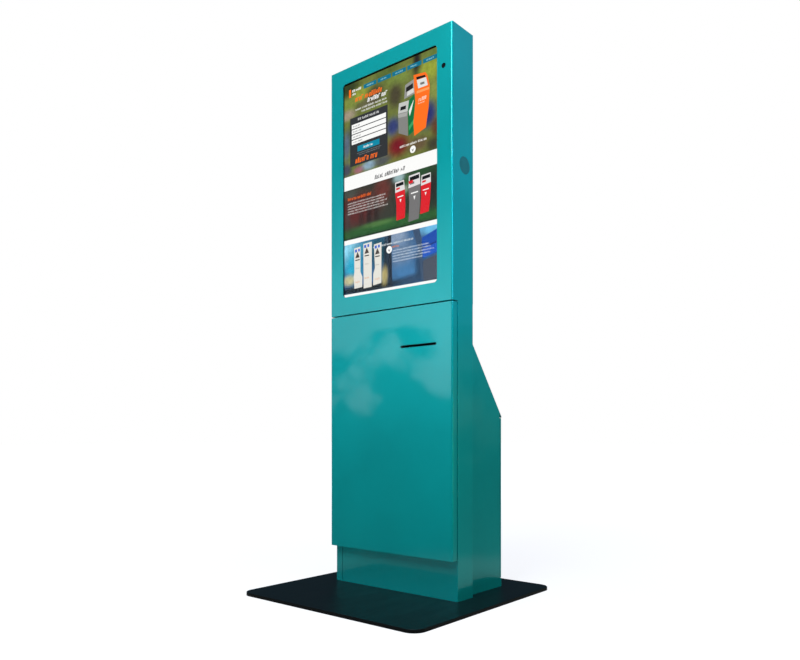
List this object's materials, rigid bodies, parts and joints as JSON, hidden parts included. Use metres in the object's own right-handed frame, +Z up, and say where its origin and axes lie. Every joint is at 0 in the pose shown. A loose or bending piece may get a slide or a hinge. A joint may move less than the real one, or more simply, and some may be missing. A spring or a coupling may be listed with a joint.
{
  "type": "ticket vending machine",
  "caption": "Free-standing ticket vending kiosk: slim display head over a column with a hinged slotted door, sloped rear cabinet and a square floor plate.",
  "frame": {"origin": "middle of the square floor plate's underside, on the floor", "axes": "+Z up, -Y towards the user who faces the screen, +X to that user's right"},
  "size_m": [0.7, 0.7, 1.7],
  "materials": {
    "teal_paint": "gloss",
    "teal_cap": "satin",
    "black_plate": "gloss",
    "zinc": "satin",
    "chrome_lock": "polished",
    "glass": "gloss",
    "display_face": "satin",
    "black_plastic": "satin",
    "grey_plastic": "matte",
    "green_plastic": "satin",
    "red_plastic": "gloss",
    "black_rubber": "matte",
    "foam": "matte",
    "paper_white": "matte",
    "aluminium": "satin",
    "dark_aluminium": "satin",
    "brass": "satin"
  },
  "bodies": {
    "cabinet": {"base_plate": "black_plate", "cable_grommet": "black_rubber", "floor_brackets": "zinc", "floor_bolts": "zinc", "column_left_side": "teal_paint", "column_right_side": "teal_paint", "column_top_plate": "teal_paint", "column_back_panel": "teal_paint", "cabinet_left_side": "teal_paint", "cabinet_right_side": "teal_paint", "cabinet_slope_panel": "teal_paint", "rear_sill": "teal_paint", "rear_hinge_cabinet_leaves": "zinc", "rear_hinge_pins": "zinc", "front_hinge_arms": "zinc", "front_hinge_pins": "zinc", "front_lock_housing": "chrome_lock", "door_bumpers": "black_rubber", "head_shell": "teal_paint", "head_rear_cover": "teal_paint", "cover_screws": "zinc", "head_bolts": "zinc", "touch_glass": "glass", "glass_gasket": "foam", "display_panel": "display_face", "display_rails": "zinc", "display_controller": "aluminium", "camera_window": "black_plastic", "camera_module": "black_plastic", "side_port_cap": "teal_cap", "fan_frame": "black_plastic", "equipment_shelf": "zinc", "printer_chassis": "zinc", "feed_motor": "dark_aluminium", "print_head": "dark_aluminium", "cutter_unit": "dark_aluminium", "ticket_chute_lower": "black_plastic", "ticket_chute_upper": "black_plastic", "computer_case": "dark_aluminium", "power_box": "black_plastic"},
    "front_door": {"front_door": "teal_paint", "front_hinge_leaves": "zinc", "front_lock_striker": "zinc"},
    "rear_door": {"rear_door": "teal_paint", "rear_hinge_door_leaves": "zinc", "rear_lock_housing": "chrome_lock"},
    "rear_lock": {"rear_lock_plug": "chrome_lock", "rear_lock_cam": "zinc"},
    "front_lock": {"front_lock_plug": "chrome_lock", "front_lock_cam": "zinc"},
    "fan_rotor": {"fan_rotor": "black_plastic"},
    "paper": {"paper_roll": "paper_white", "roll_spindle": "grey_plastic"},
    "platen": {"platen_roller": "black_rubber", "platen_gear": "grey_plastic"},
    "pinion": {"motor_pinion": "brass"},
    "lever": {"head_release_lever": "green_plastic"},
    "computer_button": {"computer_button": "grey_plastic"},
    "power_rocker": {"power_rocker": "red_plastic"}
  },
  "joints": [
    {"name": "front_door_hinge", "type": "hinge", "parent": "cabinet", "child": "front_door", "pos_m": [0.242, -0.044, 0.5], "axis": [0, 0, 1], "range_deg": [0, 110]},
    {"name": "rear_door_hinge", "type": "hinge", "parent": "cabinet", "child": "rear_door", "pos_m": [-0.2325, 0.2395, 0.3], "axis": [0, 0, 1], "range_deg": [0, 110]},
    {"name": "rear_lock_turn", "type": "hinge", "parent": "rear_door", "child": "rear_lock", "pos_m": [0.19, 0.242, 0.3], "axis": [0, -1, 0], "range_deg": [0, 90]},
    {"name": "front_lock_turn", "type": "hinge", "parent": "cabinet", "child": "front_lock", "pos_m": [-0.25, -0.007, 0.5], "axis": [-1, 0, 0], "range_deg": [0, 90]},
    {"name": "fan_spin", "type": "hinge", "parent": "cabinet", "child": "fan_rotor", "pos_m": [0, 0.03, 1.64], "axis": [0, 1, 0], "continuous": true},
    {"name": "paper_spin", "type": "hinge", "parent": "cabinet", "child": "paper", "pos_m": [0.1226, 0.065, 0.665], "axis": [1, 0, 0], "continuous": true},
    {"name": "platen_spin", "type": "hinge", "parent": "cabinet", "child": "platen", "pos_m": [0.1226, 0.018, 0.7607], "axis": [1, 0, 0], "continuous": true},
    {"name": "pinion_spin", "type": "hinge", "parent": "cabinet", "child": "pinion", "pos_m": [0.1226, 0.018, 0.7357], "axis": [1, 0, 0], "continuous": true},
    {"name": "head_lever", "type": "hinge", "parent": "cabinet", "child": "lever", "pos_m": [0.055, 0.03, 0.778], "axis": [-1, 0, 0], "range_deg": [0, 35]},
    {"name": "computer_button_press", "type": "slide", "parent": "cabinet", "child": "computer_button", "axis": [0, 1, 0], "range_m": [0, 0.002], "stiffness_N_per_m": 300},
    {"name": "power_switch", "type": "hinge", "parent": "cabinet", "child": "power_rocker", "pos_m": [-0.076, 0.1465, 0.035], "axis": [1, 0, 0], "range_deg": [0, 13]}
  ],
  "couplings": [
    {"joint": "pinion_spin", "follows": "platen_spin", "ratio": -2.3333},
    {"joint": "paper_spin", "follows": "platen_spin", "ratio": 0.16}
  ]
}
